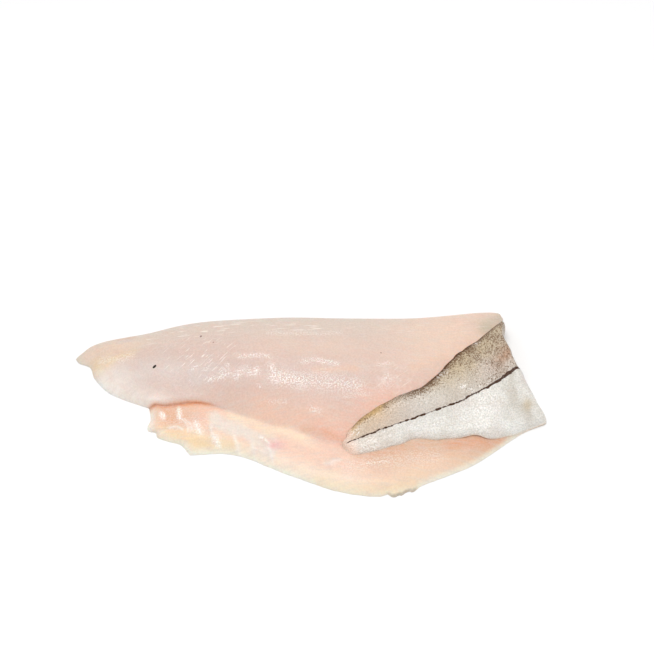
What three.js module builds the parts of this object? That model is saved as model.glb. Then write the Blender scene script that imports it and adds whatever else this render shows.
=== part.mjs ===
// A haddock fillet with its skin on. It lies skin side down, with its tail folded over onto the flesh.
// Millimetres, +Z up. +X runs from the head end to the fold, and +Y towards the back of the fish.
import * as THREE from "three";

const { clamp, lerp, smoothstep } = THREE.MathUtils;

// Driving dimensions.
const LENGTH = 230; // head end to fold
const WIDTH = 101; // belly edge to back edge
const LOIN_THICKNESS = 20; // thickest part of the loin
const NAPE_THICKNESS = 11; // loin near the head end
const TAIL_THICKNESS = 9.5; // loin at the fold
const BELLY_THICKNESS = 6; // belly flap beside the loin
const BELLY_EDGE_THICKNESS = 3.2; // belly flap near its outer edge
const TIP_SHARE = 0.42; // tail's thickness at its tip, as a share of that at the fold
const FOLD_GAP = 0.5; // between the tail and the flesh under it
const FOLD_BULGE = [0.25, 0.5]; // swell of the fold at the back and at the belly, over half its height

// Outlines in plan. A point is a share of LENGTH from the head end and a share of WIDTH from the belly edge.
const NAPE_TIP = [0, 0.748];
const NOTCH = [0.165, 0.47]; // where the loin and the belly flap part at the head end
const BELLY_CORNER = [0.256, 0.216];
const FOLD_BACK = [0.916, 0.905];
const FOLD_BELLY = [0.996, 0.382];
const TIP_BACK = [0.577, 0.278];
const TIP_BELLY = [0.583, 0.2];
const BACK_EDGE = [
  NAPE_TIP, [0.011, 0.774], [0.045, 0.82], [0.143, 0.862], [0.26, 0.922], [0.45, 0.948],
  [0.7, 0.957], [0.885, 0.998], [0.919, 0.97], FOLD_BACK,
];
const NAPE_EDGE = [NAPE_TIP, [0.009, 0.724], [0.033, 0.698], [0.046, 0.632], [0.085, 0.545], NOTCH];
const TORN_EDGE = [
  NOTCH, [0.169, 0.42], [0.166, 0.35], [0.183, 0.337], [0.188, 0.31], [0.212, 0.288], [0.237, 0.269],
  BELLY_CORNER,
];
const BELLY_EDGE = [
  BELLY_CORNER, [0.349, 0.216], [0.46, 0.112], [0.568, 0.022], [0.671, 0], [0.741, 0.063],
  [0.845, 0.168], [0.941, 0.324], FOLD_BELLY,
];
const FOLD_LINE = [FOLD_BACK, [0.907, 0.782], [0.924, 0.662], [0.948, 0.54], FOLD_BELLY];
const TAIL_BACK_EDGE = [
  FOLD_BACK, [0.858, 0.78], [0.807, 0.684], [0.749, 0.536], [0.672, 0.447], [0.606, 0.352], TIP_BACK,
];
const TAIL_BELLY_EDGE = [
  FOLD_BELLY, [0.889, 0.287], [0.845, 0.292], [0.8, 0.275], [0.725, 0.274], [0.69, 0.243], [0.617, 0.197],
  TIP_BELLY,
];
const TAIL_TIP = [TIP_BACK, [0.571, 0.235], TIP_BELLY];
const SEAM_AT_FOLD = 0.68; // where the seam of loin and belly meets the fold, as a share of the fold line
const SEAM = [
  NOTCH, [0.2, 0.457], [0.25, 0.472], [0.29, 0.464], [0.35, 0.413], [0.46, 0.323], [0.59, 0.245],
  [0.78, 0.327],
];

// Stretches of the body, as shares of the way from the head end to the fold.
const SWELLING = [0, 0.4]; // the loin thickens
const THINNING = [0.42, 1]; // and thins again
const JOINING = [0.05, 0.23]; // the belly flap, which lies lower at the head end, runs into the loin
const GROOVE_START = [0.1, 0.35]; // the groove along the loin sinks in
const GROOVE_END = [0.6, 0.9]; // and fades out
const NAPE_STEP_END = [0.12, 0.3]; // the step along the nape fades out

// Cross-section of the loin, the seam and the rims.
const CREST = 0.42; // place of the loin's crest between the back edge and the seam
const BACK_FALL = 0.3; // how much lower the loin is at the back edge than at its crest
const SIDE_HOLLOW = 0.4; // how much the loin's other side hollows out where it runs into the belly flap
const SHOULDER_STEP = 2.8; // drop from the loin to the belly flap at the head end
const SEAM_DEPTH = 0.5; // groove under that drop
const OVERHANG = 0.5; // how far the loin leans out over the groove
const LEANING = [0.7, 0.95]; // the part of the loin's side that leans, between the back edge and the seam
const BACK_RIM = 3.5; // height of the outline above the skin, at the back edge
const BELLY_RIM = 0.25; // at the belly edge
const HEAD_RIM = 0.25; // and at the head end
const RIM_RISE = 30; // distance from the head end over which the outline rises from there
const BACK_ROUND = 11; // radius of the flesh beside the back edge
const SEAM_ROUND = 4; // and beside the seam
const NAPE_TAPER = 24; // distance over which the loin thins out towards the head end
const TORN_TAPER = 6; // the belly flap towards its torn end
const NAPE_SIDE = [0.7, 1]; // where the first gives way to the second, between the back edge and the seam
const BELLY_TAPER = 9; // and towards its outer edge
const SKIN_ROUND = 4; // radius of the skin beside every edge
const TAIL_ROUND = 5; // radius of the folded tail's flesh beside its edges
const TAIL_SKIN_ROUND = [5, 3]; // and of its skin, at the back and at the belly
const TAIL_RIM = [0.15, 0.1]; // height of its outline there, as a share of the tail's thickness
const BELLY_SIDE = [0.3, 0.7]; // across the tail, where its back gives way to its belly
const EDGE_LIFT = 1; // how far the tail's belly edge stands off the flesh
const LIFTED = [0.75, 1]; // across the tail, where it lifts off
const LIFT_PLACE = 0.36; // and along the tail, from the fold to the tip
const LIFT_WIDTH = 0.08;
const TAIL_SPAN = 6; // the tail bridges hollows of the flesh that are narrower than this

// Relief of the flesh.
const GROOVE_PLACE = 0.55; // the shallow groove along the loin, between the back edge and the seam
const GROOVE_DEPTH = 0.9;
const GROOVE_WIDTH = 0.06;
const NAPE_STEP = 1.2; // the muscle along the back edge stands proud by this at the head end
const NAPE_STEP_PLACE = [0.15, 0.36]; // across the loin, at the head end and after the next share of the body
const NAPE_STEP_REACH = 0.25;
const NAPE_STEP_WIDTH = 0.1;
const UNEVENNESS = 0.35;
const WAVE_LENGTHS = [13, 9, 7.3, 11]; // of the unevenness, over 2 pi
const WAVE_SHIFTS = [1.1, 0.6];

// Cells of the surface grid.
const BODY_CELLS = 46;
const BEND_CELLS = 8;
const TAIL_CELLS = 24;
const LOIN_CELLS = 16;
const BELLY_CELLS = 12;
const CROWDING = 0.75; // of cells beside the edges
const COLUMNS = LOIN_CELLS + BELLY_CELLS;
const ROWS = BODY_CELLS + BEND_CELLS + TAIL_CELLS;

const NEARBY = 0.01; // a short way along the fold line
const PLUMB_HEIGHT = 100;
const DOWN = new THREE.Vector3(0, 0, -1);

function plan([along, across]) {
  return new THREE.Vector2((along - 0.5) * LENGTH, (across - 0.5) * WIDTH);
}

// A smooth curve through outline points, as a function of its share of length.
function curve(points) {
  const spline = new THREE.SplineCurve(points);
  return (share) => spline.getPointAt(clamp(share, 0, 1));
}

const foldLine = curve(FOLD_LINE.map(plan));
const backEdge = curve(BACK_EDGE.map(plan));
const seam = curve([...SEAM.map(plan), foldLine(SEAM_AT_FOLD)]);
const bellyEdge = curve(BELLY_EDGE.map(plan));
const napeEdge = curve(NAPE_EDGE.map(plan));
const tornEdge = curve(TORN_EDGE.map(plan));
const tailBackEdge = curve(TAIL_BACK_EDGE.map(plan));
const tailBellyEdge = curve(TAIL_BELLY_EDGE.map(plan));
const tailTip = curve(TAIL_TIP.map(plan));

// A surface in plan between two rails, which bows near its ends to meet a start line and an end line.
function patch(railA, railB, start, end) {
  const straight = (s, q) => railA(s).lerp(railB(s), q);
  return (s, q) =>
    straight(s, q)
      .addScaledVector(start(q).sub(straight(0, q)), (1 - s) ** 3)
      .addScaledVector(end(q).sub(straight(1, q)), s ** 3);
}

const loinPlan = patch(backEdge, seam, napeEdge, (q) => foldLine(SEAM_AT_FOLD * q));
const bellyPlan = patch(seam, bellyEdge, tornEdge, (q) => foldLine(lerp(SEAM_AT_FOLD, 1, q)));
const tailPlan = patch(tailBackEdge, tailBellyEdge, foldLine, tailTip);

// Shares from 0 to 1 that crowd together at both ends.
function spread(index, cells) {
  const even = index / cells;
  return lerp(even, (1 - Math.cos(Math.PI * even)) / 2, CROWDING);
}

// A column of the grid: on the loin or on the belly flap, its place q across that, and across the whole tail.
function columnAt(index) {
  const onLoin = index <= LOIN_CELLS;
  const q = onLoin ? spread(index, LOIN_CELLS) : spread(index - LOIN_CELLS, BELLY_CELLS);
  const across = onLoin ? SEAM_AT_FOLD * q : lerp(SEAM_AT_FOLD, 1, q);
  return { onLoin, q, across, isEdge: index === 0 || index === COLUMNS };
}

// Rises from 0 at an edge to 1 at a distance of one radius, along a quarter of an ellipse.
function rounding(distance, radius) {
  return Math.sqrt(1 - (1 - clamp(distance / radius, 0, 1)) ** 2);
}

// Rises from 0 at an edge to 1 at a distance of one reach, along a parabola.
function taper(distance, reach) {
  return 1 - (1 - clamp(distance / reach, 0, 1)) ** 2;
}

function bump(x, centre, width) {
  return Math.exp(-(((x - centre) / width) ** 2));
}

// Slow waves that make the flesh uneven.
function unevenness({ x, y }) {
  const [a, b, c, d] = WAVE_LENGTHS;
  const [first, second] = WAVE_SHIFTS;
  return UNEVENNESS * (Math.sin(x / a + first) * Math.cos(y / b) + Math.sin(x / c - y / d + second));
}

function loinThickness(s) {
  const swell = lerp(NAPE_THICKNESS, LOIN_THICKNESS, smoothstep(s, ...SWELLING));
  return lerp(swell, TAIL_THICKNESS, smoothstep(s, ...THINNING));
}

// 1 near the head end, where the loin stands clear of the belly flap, and 0 where the two run together.
function parting(s) {
  return 1 - smoothstep(s, ...JOINING);
}

// Height of the loin before its outer edges are rounded, and its lean over the seam, which stays back.
function loinSection(s, q) {
  const seamHeight = BELLY_THICKNESS - SEAM_DEPTH * parting(s);
  const shoulder = BELLY_THICKNESS + SHOULDER_STEP * parting(s);
  const pastCrest = (q - CREST) / (1 - CREST);
  const backSide = loinThickness(s) * (1 - BACK_FALL * pastCrest ** 2 * ((1 - CREST) / CREST) ** 2);
  const bellyFall = lerp(pastCrest ** 2, smoothstep(pastCrest, 0, 1), SIDE_HOLLOW * (1 - parting(s)));
  const crowned = q < CREST ? backSide : lerp(loinThickness(s), shoulder, bellyFall);
  const grooved = smoothstep(s, ...GROOVE_START) * (1 - smoothstep(s, ...GROOVE_END));
  const groove = GROOVE_DEPTH * bump(q, GROOVE_PLACE, GROOVE_WIDTH) * grooved;
  const stepPlace = lerp(...NAPE_STEP_PLACE, clamp(s / NAPE_STEP_REACH, 0, 1));
  const pastStep = (q - stepPlace) / NAPE_STEP_WIDTH;
  const step = NAPE_STEP * (1 - smoothstep(pastStep, -0.5, 0.5)) * (1 - smoothstep(s, ...NAPE_STEP_END));
  const fromSeam = (1 - q) * backEdge(s).distanceTo(seam(s));
  const height = lerp(seamHeight, crowned - groove + step, rounding(fromSeam, SEAM_ROUND));
  const lean = q < 1 ? OVERHANG * parting(s) * smoothstep(q, ...LEANING) : 0;
  return { height, lean };
}

// Height of the belly flap before its outer edges are rounded.
function bellySection(s, q) {
  const seamHeight = BELLY_THICKNESS - SEAM_DEPTH * parting(s);
  const fromSeam = q * seam(s).distanceTo(bellyEdge(s));
  const flap = lerp(BELLY_THICKNESS, BELLY_EDGE_THICKNESS, q);
  return { height: lerp(seamHeight, flap, rounding(fromSeam, SEAM_ROUND)), lean: 0 };
}

// How much of its full height the flesh has, beside the outer edges of the body.
function fleshShare(column, s, fromSide) {
  const loinReach = lerp(NAPE_TAPER, TORN_TAPER, smoothstep(column.q, ...NAPE_SIDE));
  const headReach = column.onLoin ? loinReach : TORN_TAPER;
  const side = column.onLoin ? rounding(fromSide, BACK_ROUND) : taper(fromSide, BELLY_TAPER);
  return side * taper(s * LENGTH, headReach);
}

// Height of the body's outline above the surface that it lies on.
function rimHeight(column, s) {
  return lerp(HEAD_RIM, lerp(BACK_RIM, BELLY_RIM, column.across), clamp((s * LENGTH) / RIM_RISE, 0, 1));
}

function section(column, s) {
  return column.onLoin ? loinSection(s, column.q) : bellySection(s, column.q);
}

// The flesh point and the skin point of the body at a share s of the way from the head end to the fold.
function bodyPoints(column, s) {
  const place = column.onLoin ? loinPlan(s, column.q) : bellyPlan(s, column.q);
  const { height, lean } = section(column, s);
  const breadth = column.onLoin ? backEdge(s).distanceTo(seam(s)) : seam(s).distanceTo(bellyEdge(s));
  const fromSide = breadth * (column.onLoin ? column.q : 1 - column.q);
  const rim = rimHeight(column, s);
  const share = fleshShare(column, s, fromSide);
  const skinShare = rounding(fromSide, SKIN_ROUND) * rounding(s * LENGTH, SKIN_ROUND);
  const towardsBelly = bellyEdge(s).sub(backEdge(s)).normalize();
  const leaning = place.clone().addScaledVector(towardsBelly, lean * share);
  const fleshHeight = lerp(rim, height + unevenness(place), share);
  return {
    flesh: new THREE.Vector3(leaning.x, leaning.y, fleshHeight),
    skin: new THREE.Vector3(place.x, place.y, rim * (1 - skinShare)),
  };
}

// The flesh and skin points of the tail, laid on the flesh below, at a share s from the fold to the tip.
function tailPoints(column, s, heightOfBed) {
  const { x, y } = tailPlan(s, column.across);
  const breadth = tailBackEdge(s).distanceTo(tailBellyEdge(s));
  const fromTip = (1 - s) * tailBackEdge(0).distanceTo(tailBackEdge(1));
  const fromSide = breadth * Math.min(column.across, 1 - column.across);
  const share = (radius) => rounding(fromSide, radius) * rounding(fromTip, radius);
  const thickness = section(column, 1).height * lerp(1, TIP_SHARE, s);
  const lift = FOLD_GAP + EDGE_LIFT * smoothstep(column.across, ...LIFTED) * bump(s, LIFT_PLACE, LIFT_WIDTH);
  const bed = heightOfBed(x, y);
  const besideX = (heightOfBed(x - TAIL_SPAN, y) + heightOfBed(x + TAIL_SPAN, y)) / 2;
  const besideY = (heightOfBed(x, y - TAIL_SPAN) + heightOfBed(x, y + TAIL_SPAN)) / 2;
  const under = bed + lift;
  const top = (bed + 2 * besideX + 2 * besideY) / 5 + lift + thickness;
  const towardsBelly = smoothstep(column.across, ...BELLY_SIDE);
  const rim = lerp(under, top, lerp(...TAIL_RIM, towardsBelly));
  const skinRadius = lerp(...TAIL_SKIN_ROUND, towardsBelly);
  return {
    flesh: new THREE.Vector3(x, y, lerp(rim, under, share(TAIL_ROUND))),
    skin: new THREE.Vector3(x, y, lerp(rim, top, share(skinRadius))),
  };
}

// Points of the bend, where the skin runs round the outside and the flesh closes on itself.
function bendPoints(column, turn, below, above) {
  const out = Math.sin(Math.PI * turn);
  const up = (1 - Math.cos(Math.PI * turn)) / 2;
  const along = foldLine(column.across + NEARBY).sub(foldLine(column.across - NEARBY)).normalize();
  const outward = new THREE.Vector3(-along.y, along.x, 0);
  const bulge = lerp(...FOLD_BULGE, smoothstep(column.across, ...BELLY_SIDE));
  const swell = (bulge * (above.skin.z - below.skin.z)) / 2;
  const skin = below.skin.clone().lerp(above.skin, up).addScaledVector(outward, swell * out);
  const flesh = below.flesh.clone().lerp(above.flesh, up).addScaledVector(outward, (FOLD_GAP / 2) * out);
  return { flesh: column.isEdge ? skin : flesh, skin };
}

// Drops plumb lines onto the flesh of the body, and gives the height where each one lands.
// A plumb line that falls beside the body takes the height of the nearest flesh point.
function bedOf(bodyRows) {
  const points = bodyRows.flat().map((point) => point.flesh);
  const sheet = new THREE.BufferGeometry().setFromPoints(points);
  sheet.setIndex(gridTriangles(bodyRows.length - 1, (row, column) => row * (COLUMNS + 1) + column));
  const bed = new THREE.Mesh(sheet, new THREE.MeshBasicMaterial());
  const plumb = new THREE.Raycaster();
  return (x, y) => {
    plumb.set(new THREE.Vector3(x, y, PLUMB_HEIGHT), DOWN);
    const [landing] = plumb.intersectObject(bed);
    const distance = (point) => Math.hypot(point.x - x, point.y - y);
    const nearest = () => points.reduce((best, point) => (distance(point) < distance(best) ? point : best));
    return landing ? landing.point.z : nearest().z;
  };
}

// Triangles of a grid. Each diagonal runs towards the nearest corner, so none has all its points on the rim.
function gridTriangles(rows, indexAt) {
  const triangles = [];
  for (let row = 0; row < rows; row++) {
    for (let column = 0; column < COLUMNS; column++) {
      const a = indexAt(row, column);
      const b = indexAt(row, column + 1);
      const c = indexAt(row + 1, column + 1);
      const d = indexAt(row + 1, column);
      const fromFirst = row < rows / 2 === column < COLUMNS / 2;
      triangles.push(...(fromFirst ? [a, b, c, a, c, d] : [a, b, d, b, c, d]));
    }
  }
  return triangles;
}

function surfaceRows() {
  const columns = Array.from({ length: COLUMNS + 1 }, (_, index) => columnAt(index));
  const rows = [];
  for (let row = 0; row <= BODY_CELLS; row++) {
    rows.push(columns.map((column) => bodyPoints(column, spread(row, BODY_CELLS))));
  }
  const heightOfBed = bedOf(rows);
  const below = rows.at(-1);
  const above = columns.map((column) => tailPoints(column, 0, heightOfBed));
  for (let row = 1; row < BEND_CELLS; row++) {
    rows.push(columns.map((column, i) => bendPoints(column, row / BEND_CELLS, below[i], above[i])));
  }
  for (let row = 0; row <= TAIL_CELLS; row++) {
    rows.push(columns.map((column) => tailPoints(column, spread(row, TAIL_CELLS), heightOfBed)));
  }
  return rows;
}

// One closed skin round the fillet: the flesh grid and the skin grid, which share the points of the rim.
function filletGeometry() {
  const points = [];
  const fleshIndex = [];
  const skinIndex = [];
  surfaceRows().forEach((row, r) => {
    row.forEach(({ flesh, skin }, c) => {
      const onRim = r === 0 || r === ROWS || c === 0 || c === COLUMNS;
      fleshIndex.push(points.push(flesh) - 1);
      skinIndex.push(onRim ? fleshIndex.at(-1) : points.push(skin) - 1);
    });
  });
  const at = (indices) => (row, column) => indices[row * (COLUMNS + 1) + column];
  const fleshFaces = gridTriangles(ROWS, at(fleshIndex));
  const skinFaces = gridTriangles(ROWS, at(skinIndex)).reverse();
  const geometry = new THREE.BufferGeometry().setFromPoints(points);
  geometry.setIndex([...fleshFaces, ...skinFaces]);
  geometry.computeVertexNormals();
  return geometry;
}

const fleshMaterial = new THREE.MeshStandardMaterial({ color: 0xefd5c6, roughness: 0.35, metalness: 0 });
const fillet = new THREE.Mesh(filletGeometry(), fleshMaterial);
fillet.name = "fillet";

// The origin is under the middle of the fillet, on the surface that it lies on.
const box = new THREE.Box3().setFromObject(fillet);
const middle = box.getCenter(new THREE.Vector3());
fillet.position.set(-middle.x, -middle.y, -box.min.z);

const haddockFillet = new THREE.Group();
haddockFillet.add(fillet);

export default haddockFillet;
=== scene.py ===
"""A raw haddock fillet that lies skin side down, with its tail folded over onto the flesh.

The fillet is one closed sheet: a grid of flesh and a grid of skin that share the points of the rim.
Sizes are in millimetres until the mesh is made. +X runs from the head end to the fold, +Y towards the back.
Shares s run along the body or the tail, q across the loin or the belly flap, and across over both.
"""

import math

import bpy
import numpy as np
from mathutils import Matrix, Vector
from mathutils.bvhtree import BVHTree


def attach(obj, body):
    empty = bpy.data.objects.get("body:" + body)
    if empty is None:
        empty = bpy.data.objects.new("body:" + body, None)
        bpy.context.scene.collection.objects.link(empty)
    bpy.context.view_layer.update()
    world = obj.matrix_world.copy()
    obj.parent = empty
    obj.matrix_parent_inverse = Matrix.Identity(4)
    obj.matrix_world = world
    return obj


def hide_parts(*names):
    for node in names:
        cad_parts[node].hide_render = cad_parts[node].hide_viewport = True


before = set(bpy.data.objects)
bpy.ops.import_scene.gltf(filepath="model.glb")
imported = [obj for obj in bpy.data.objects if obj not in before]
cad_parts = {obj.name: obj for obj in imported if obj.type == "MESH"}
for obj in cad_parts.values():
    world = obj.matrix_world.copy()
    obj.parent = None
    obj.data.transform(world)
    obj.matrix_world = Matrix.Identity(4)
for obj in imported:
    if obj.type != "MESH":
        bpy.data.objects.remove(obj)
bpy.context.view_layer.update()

MM = 0.001

# Driving dimensions, as in the part.
LENGTH = 230
WIDTH = 101
LOIN_THICKNESS = 20
NAPE_THICKNESS = 11
TAIL_THICKNESS = 9.5
BELLY_THICKNESS = 6
BELLY_EDGE_THICKNESS = 3.2
TIP_SHARE = 0.42  # thickness at the tail's tip, as a share of that at the fold
FOLD_GAP = 0.5  # between the tail and the flesh below
FOLD_BULGE = (0.25, 0.5)  # at the back and at the belly

# Outlines in plan, as shares of LENGTH from the head end and of WIDTH from the belly edge.
NAPE_TIP = (0, 0.748)
NOTCH = (0.165, 0.47)
BELLY_CORNER = (0.256, 0.216)
FOLD_BACK = (0.916, 0.905)
FOLD_BELLY = (0.996, 0.382)
TIP_BACK = (0.577, 0.278)
TIP_BELLY = (0.583, 0.2)
BACK_EDGE = [
    NAPE_TIP, (0.011, 0.774), (0.045, 0.82), (0.143, 0.862), (0.26, 0.922), (0.45, 0.948),
    (0.7, 0.957), (0.885, 0.998), (0.919, 0.97), FOLD_BACK,
]
NAPE_EDGE = [NAPE_TIP, (0.009, 0.724), (0.033, 0.698), (0.046, 0.632), (0.085, 0.545), NOTCH]
TORN_EDGE = [
    NOTCH, (0.169, 0.42), (0.166, 0.35), (0.183, 0.337), (0.188, 0.31), (0.212, 0.288), (0.237, 0.269),
    BELLY_CORNER,
]
BELLY_EDGE = [
    BELLY_CORNER, (0.349, 0.216), (0.46, 0.112), (0.568, 0.022), (0.671, 0), (0.741, 0.063),
    (0.845, 0.168), (0.941, 0.324), FOLD_BELLY,
]
FOLD_LINE = [FOLD_BACK, (0.907, 0.782), (0.924, 0.662), (0.948, 0.54), FOLD_BELLY]
TAIL_BACK_EDGE = [
    FOLD_BACK, (0.858, 0.78), (0.807, 0.684), (0.749, 0.536), (0.672, 0.447), (0.606, 0.352), TIP_BACK,
]
TAIL_BELLY_EDGE = [
    FOLD_BELLY, (0.889, 0.287), (0.845, 0.292), (0.8, 0.275), (0.725, 0.274), (0.69, 0.243), (0.617, 0.197),
    TIP_BELLY,
]
TAIL_TIP = [TIP_BACK, (0.571, 0.235), TIP_BELLY]
LATERAL_LINE = [(0.573, 0.23), (0.638, 0.284), (0.72, 0.352), (0.804, 0.428), (0.88, 0.518), (0.945, 0.624)]
SEAM_AT_FOLD = 0.68
SEAM = [
    NOTCH, (0.2, 0.457), (0.25, 0.472), (0.29, 0.464), (0.35, 0.413), (0.46, 0.323), (0.59, 0.245),
    (0.78, 0.327),
]

# Stretches of the body, as shares of the way from the head end to the fold.
SWELLING = (0, 0.4)
THINNING = (0.42, 1)
JOINING = (0.05, 0.23)
GROOVE_START = (0.1, 0.35)
GROOVE_END = (0.6, 0.9)
NAPE_STEP_END = (0.12, 0.3)

# Cross-section of the loin, the seam and the rims, and the part's own relief.
CREST = 0.42
BACK_FALL = 0.3
SIDE_HOLLOW = 0.4
SHOULDER_STEP = 2.8
SEAM_DEPTH = 0.5
OVERHANG = 0.5
LEANING = (0.7, 0.95)
BACK_RIM = 3.5
BELLY_RIM = 0.25
HEAD_RIM = 0.25
RIM_RISE = 30
BACK_ROUND = 11
SEAM_ROUND = 4
NAPE_TAPER = 24
TORN_TAPER = 6
NAPE_SIDE = (0.7, 1)
BELLY_TAPER = 9
SKIN_ROUND = 4
TAIL_ROUND = 5
TAIL_SKIN_ROUND = (5, 3)  # at the back and at the belly
TAIL_RIM = (0.15, 0.1)  # share of the tail's thickness, at the back and at the belly
BELLY_SIDE = (0.3, 0.7)
EDGE_LIFT = 1
LIFTED = (0.75, 1)
LIFT_PLACE = 0.36
LIFT_WIDTH = 0.08
TAIL_SPAN = 6  # the tail bridges hollows of about this size
GROOVE_PLACE = 0.55
GROOVE_DEPTH = 0.9
GROOVE_WIDTH = 0.06
NAPE_STEP = 1.2
NAPE_STEP_PLACE = (0.15, 0.36)
NAPE_STEP_REACH = 0.25
NAPE_STEP_WIDTH = 0.1
UNEVENNESS = 0.35
UNEVEN_LENGTHS = (13, 9, 7.3, 11)
UNEVEN_PHASES = (1.1, 0.6)

# Relief that is finer than the part's own.
FLAKE_PITCH = 4.8  # between the sheets of tissue that part the flakes
FLAKE_SLANT = [(0.2, 1.05), (0.7, 0.25)]  # shares of the body, and how far they run along for each mm across
FLAKE_RIDGE = 0.16
RIDGE_WIDTH = 0.25  # share of the pitch
FIBRE_RELIEF = 0.07
FILM_RELIEF = 0.3
BARE_RELIEF = 0.35  # share of that where there is no film
STRAND_RIDGE = 0.45
TORN_TAGS = 0.4  # unevenness of the torn end of the belly flap
EDGE_TAGS = 1  # and of its outer edge
RAGGEDNESS = [(33, 0.1), (38, 1), (50, 1), (54, 0.1)]  # places on X along that edge, and shares of its tags
TAG_REACH = 7
TAG_START = (0, 0.2)
TAIL_EDGE_WAVES = 0.7
WAVY_SIDES = [(0, 0.6), (0.2, 0), (0.7, 0), (1, 1)]  # shares of the way across the tail, and of those waves
WAVY_TIP = (0.9, 1)
TAIL_SINK = 0.7  # how far the edges of the tail press into the soft flesh
SINKING = (0, 0.12)
FOLD_WAVES = 0.35  # unevenness of the fold, as a share of its swell

# Random waves: their lengths both ways, and a seed.
TORN_TAG_WAVES = ((3.3, 1), 11)
EDGE_TAG_WAVES = ((4.1, 1), 12)
SMALL_TAG_WAVES = ((1.7, 1), 13)
TAIL_WAVES_IN_Y = ((5.5, 5), 21)
TAIL_WAVES_IN_X = ((2.1, 5), 22)
FOLD_SWELL_WAVES = ((1 / 14, 1), 23)
FLAKE_WAVES = ((5, 5), 41)
FIBRE_WAVES = ((9, 3), 42)
WRINKLES = ((2.6, 3.4), 43)
SMALL_WRINKLES = ((1.3, 1.6), 44)
BLOTCH_WAVES = ((3.5, 3.5), 53)
ROSE_WAVES = ((7, 7), 54)
SHIMMER_WAVES = ((1.6, 2), 62)

# Random waves that move what is drawn: how far, their length, and a seed each way.
TONE_WAVER = (2, 9, (1, 2))
FILM_WAVER = (3, 8, (31, 32))
STRAND_WAVER = (0.8, 3, (33, 34))
GLINT_WAVER = (0.6, 3, (35, 36))
SKIN_WAVER = (2, 6, (51, 52))

# Ovals where the edges of flakes show, with painted glints along them: place, size and strength.
FLAKY_GLINTING_PLACES = [((-52, 16), (20, 11), 1), ((42, 5), (10, 8), 0.7)]

# Lines where pale fibres show: points, width and strength.
FIBROUS_PLACES = [([(-76, 31), (-40, 34), (14, 32)], 5, 1), ([(14, 36), (80, 41)], 8, 0.4)]

# The white film on the belly flap: its main patch, and a small one beyond.
FILM_BAND = ([(-43, -12), (-20, -23)], 5)
FILM_PATCH = ((-21, -29), (6, 4))
FILM_EDGE = (0.15, 0.8)
FILM_START = (0, 0.08)

# Strands of that film: points and width.
STRANDS = [
    ([(-46, -15), (-45.6, -18), (-44.2, -21)], 0.9),
    ([(-34.5, -20), (-34.3, -22.3), (-33, -25), (-32.3, -28.5)], 1.2),
    ([(-26.5, -25), (-26.1, -27.4), (-24.7, -30.6)], 0.9),
    ([(-18.5, -26.5), (-17.3, -29), (-16.5, -32.8)], 0.8),
    ([(-22.3, -21.2), (-18.6, -24.2)], 0.7),
    ([(-70, -8.6), (-69.3, -10.2)], 1.2),
    ([(-61.6, -6.2), (-61.5, -8), (-61.2, -11.3)], 1.2),
    ([(-60.5, -11.6), (-58.2, -13.5), (-56.3, -17.3)], 0.6),
    ([(-58.8, -11.5), (-56.5, -13.2), (-54.8, -17)], 0.6),
    ([(-66.5, -15.8), (-63, -14.6), (-60, -16.8)], 0.6),
    ([(-53.3, -14), (-52.6, -16), (-51.6, -18)], 1.4),
    ([(-44, -20.8), (-42.6, -23.8)], 1.4),
    ([(8, -35.5), (15, -33.5)], 0.7),
]

# Lines where water stands on the flesh and white glints are painted: points, width and how wet it is there.
WET_AND_GLINT_PLACES = [
    ([(-33, 15), (-24, 15.7), (-19, 15.2)], 0.9, 0.8),
    ([(-2.5, 12.8), (5.6, 13.3), (13.8, 11.7)], 1.1, 1),
    ([(-17.3, 10.5), (-15.9, 8), (-16.8, 5)], 1.8, 1),
    ([(-14.5, 5), (-8.7, 4), (-1.5, 3.3)], 3.6, 1),
    ([(-1.5, 3.3), (8, 3), (15.2, 2), (24, 1.5)], 4, 0.65),
    ([(-27.4, 7), (-24, 8.1)], 1.6, 1),
    ([(-35, 6), (-29.8, 10)], 1.6, 0.75),
    ([(-48, 6.2), (-40.5, 6.8), (-37.5, 8)], 1.1, 0.85),
    ([(-41.4, 8.8), (-38.5, 11.7)], 0.8, 0.9),
    ([(-49.7, 10.4), (-47.8, 12.1)], 0.7, 0.8),
    ([(-55.5, 11.3), (-53.6, 13)], 0.7, 0.9),
    ([(34.5, 13.4), (38.9, 14.3)], 1, 0.6),
    ([(36.8, 5.8), (38.8, 7.5)], 1.2, 0.8),
    ([(36, 1), (39.2, 6)], 2.2, 0.3),
    ([(-24, 1.4), (-22.5, 0.5)], 0.7, 0.8),
    ([(0.9, -9.6), (5.7, -11)], 0.9, 0.7),
    ([(-18.2, -5.6), (-11, -5.8)], 1, 0.4),
    ([(17.6, -3.7), (28.6, -2.4)], 1, 0.4),
    ([(-19, 28.5), (15, 30.5)], 1.2, 0.5),
    ([(-101, 21), (-89, 19.7), (-85.5, 20.5)], 1.8, 0.5),
    ([(-69.9, -8.6), (-69.3, -10)], 1.3, 1),
    ([(-61.6, -6.2), (-61.4, -11.3)], 1.4, 1),
    ([(-53.1, -14), (-52, -17.6)], 1.8, 1),
    ([(-44.2, -20.5), (-42.4, -23.9)], 1.5, 0.9),
    ([(-22.5, -21.3), (-18.7, -24)], 0.7, 1),
    ([(-66, -12), (-50, -14)], 6, 0.22),
    ([(28, -35.3), (38, -34.6)], 0.8, 0.8),
    ([(20, -36), (60, -31)], 4, 0.3),
]
DAMPNESS = 0.1  # everywhere else
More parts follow.
